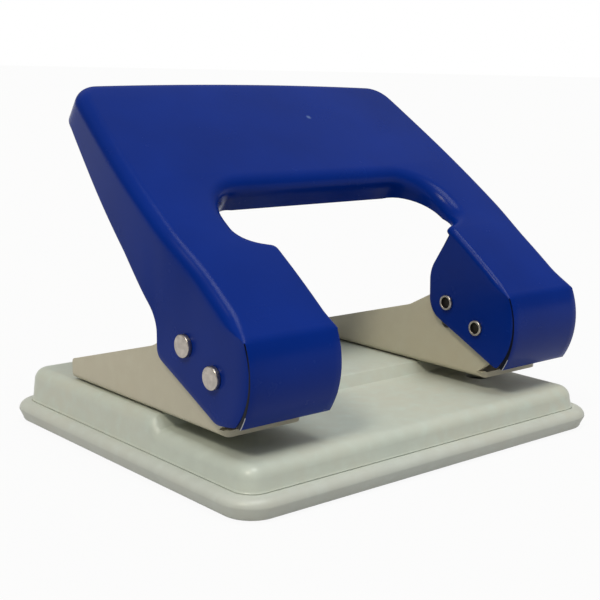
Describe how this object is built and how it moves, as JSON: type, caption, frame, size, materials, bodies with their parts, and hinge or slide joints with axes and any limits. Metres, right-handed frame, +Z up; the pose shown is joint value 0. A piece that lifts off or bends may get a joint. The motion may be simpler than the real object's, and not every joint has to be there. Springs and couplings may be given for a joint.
{
  "type": "two-hole punch",
  "caption": "Desk paper punch: a pressed steel lever with a handle opening swings on its arms and drives spring-returned punches through a base plate above a clip-on chip tray.",
  "frame": {"origin": "Middle of the bounding box in plan, on the surface that the punch stands on.", "axes": "+X to the user's right, along the row of punched holes. +Y from the nose of the lever to the handle side. +Z up."},
  "size_m": [0.1152, 0.0978, 0.0832],
  "materials": {
    "blue_enamel": "gloss",
    "cream_paint": "gloss",
    "base_paint": "satin",
    "tray_plastic": "satin",
    "nickel_plate": "gloss",
    "tool_steel": "satin"
  },
  "bodies": {
    "base": {"base_plate": "base_paint", "bracket_left": "cream_paint", "bracket_right": "cream_paint", "fixing_rivet_front_left": "nickel_plate", "fixing_rivet_front_right": "nickel_plate", "fixing_rivet_rear_left": "nickel_plate", "fixing_rivet_rear_right": "nickel_plate", "pivot_sleeve_left": "nickel_plate", "pivot_sleeve_right": "nickel_plate", "return_spring_left": "tool_steel", "return_spring_right": "tool_steel"},
    "lever": {"lever": "blue_enamel", "pivot_rivet_left": "nickel_plate", "pivot_rivet_right": "nickel_plate", "drive_rivet_left": "nickel_plate", "drive_rivet_right": "nickel_plate"},
    "punch_left": {"punch_left": "tool_steel", "spring_washer_left": "tool_steel"},
    "punch_right": {"punch_right": "tool_steel", "spring_washer_right": "tool_steel"},
    "tray": {"chip_tray": "tray_plastic"}
  },
  "joints": [
    {"name": "lever_hinge", "type": "hinge", "parent": "base", "child": "lever", "pos_m": [0, -0.032, 0.0262], "axis": [-1, 0, 0], "range_deg": [0, 27], "stiffness_Nm_per_rad": 0.3, "springref_deg": -34.38},
    {"name": "punch_left_slide", "type": "slide", "parent": "base", "child": "punch_left", "axis": [0, 0, -1], "range_m": [0, 0.005], "deforming": ["return_spring_left"]},
    {"name": "punch_right_slide", "type": "slide", "parent": "base", "child": "punch_right", "axis": [0, 0, -1], "range_m": [0, 0.005], "deforming": ["return_spring_right"]},
    {"name": "tray_slide", "type": "slide", "parent": "base", "child": "tray", "axis": [0, 0, -1], "range_m": [0, 0.02]}
  ],
  "couplings": [
    {"joint": "punch_left_slide", "follows": "lever_hinge", "m_per_rad": 0.010566},
    {"joint": "punch_right_slide", "follows": "lever_hinge", "m_per_rad": 0.010566}
  ]
}
